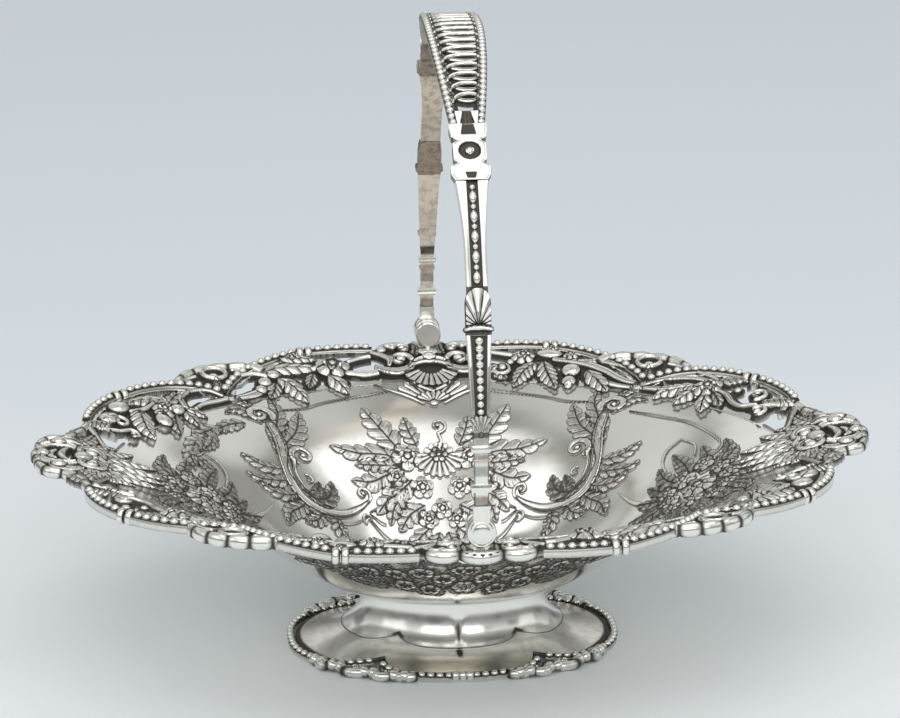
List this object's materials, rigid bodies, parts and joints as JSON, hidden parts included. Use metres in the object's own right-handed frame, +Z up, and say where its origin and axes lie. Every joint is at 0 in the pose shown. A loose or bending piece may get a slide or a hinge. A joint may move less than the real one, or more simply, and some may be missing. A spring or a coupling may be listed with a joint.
{
  "type": "pedestal basket",
  "caption": "Oval silver basket with a pierced, beaded border on a lobed pedestal foot, and an arched handle that swings down to either end.",
  "frame": {"origin": "centre of the oval foot, on the surface that the basket stands on", "axes": "+X along the basket's long axis, +Y across it from hinge to hinge, +Z up"},
  "size_m": [0.3712, 0.2868, 0.2828],
  "materials": {
    "raised_silver": "bright hand-polished sheet silver, chased, with a dark patina in the chasing",
    "cast_silver": "cast and chased silver, bright on the high points and dark in the recesses",
    "handle_silver": "cast silver, bright outside and plain and warm-toned inside the arch"
  },
  "bodies": {
    "basket": {"bowl": "raised_silver", "foot_stem": "raised_silver", "border_tip_left": "cast_silver", "foot_bead_rail_left": "cast_silver", "border_tip_right": "cast_silver", "foot_bead_rail_right": "cast_silver", "hinge_plate_front": "cast_silver", "hinge_lug_front": "cast_silver", "hinge_pin_front": "cast_silver", "foot_bead_rail_front": "cast_silver", "border_end_panel_front_left": "cast_silver", "border_side_panel_front_left": "cast_silver", "border_shell_front_left": "cast_silver", "foot_scroll_front_left": "cast_silver", "border_end_panel_front_right": "cast_silver", "border_side_panel_front_right": "cast_silver", "border_shell_front_right": "cast_silver", "foot_scroll_front_right": "cast_silver", "hinge_plate_back": "cast_silver", "hinge_lug_back": "cast_silver", "hinge_pin_back": "cast_silver", "foot_bead_rail_back": "cast_silver", "border_end_panel_back_left": "cast_silver", "border_side_panel_back_left": "cast_silver", "border_shell_back_left": "cast_silver", "foot_scroll_back_left": "cast_silver", "border_end_panel_back_right": "cast_silver", "border_side_panel_back_right": "cast_silver", "border_shell_back_right": "cast_silver", "foot_scroll_back_right": "cast_silver"},
    "handle": {"handle_boss_front": "handle_silver", "handle_upper_leg_front": "handle_silver", "handle_shell_front": "handle_silver", "handle_lower_leg_front": "handle_silver", "handle_eye_front": "handle_silver", "handle_boss_back": "handle_silver", "handle_upper_leg_back": "handle_silver", "handle_shell_back": "handle_silver", "handle_lower_leg_back": "handle_silver", "handle_eye_back": "handle_silver", "handle_crown": "handle_silver"}
  },
  "joints": [
    {"name": "handle_swing", "type": "hinge", "parent": "basket", "child": "handle", "pos_m": [0, 0, 0.1005], "axis": [0, 1, 0], "range_deg": [-85, 85]}
  ]
}
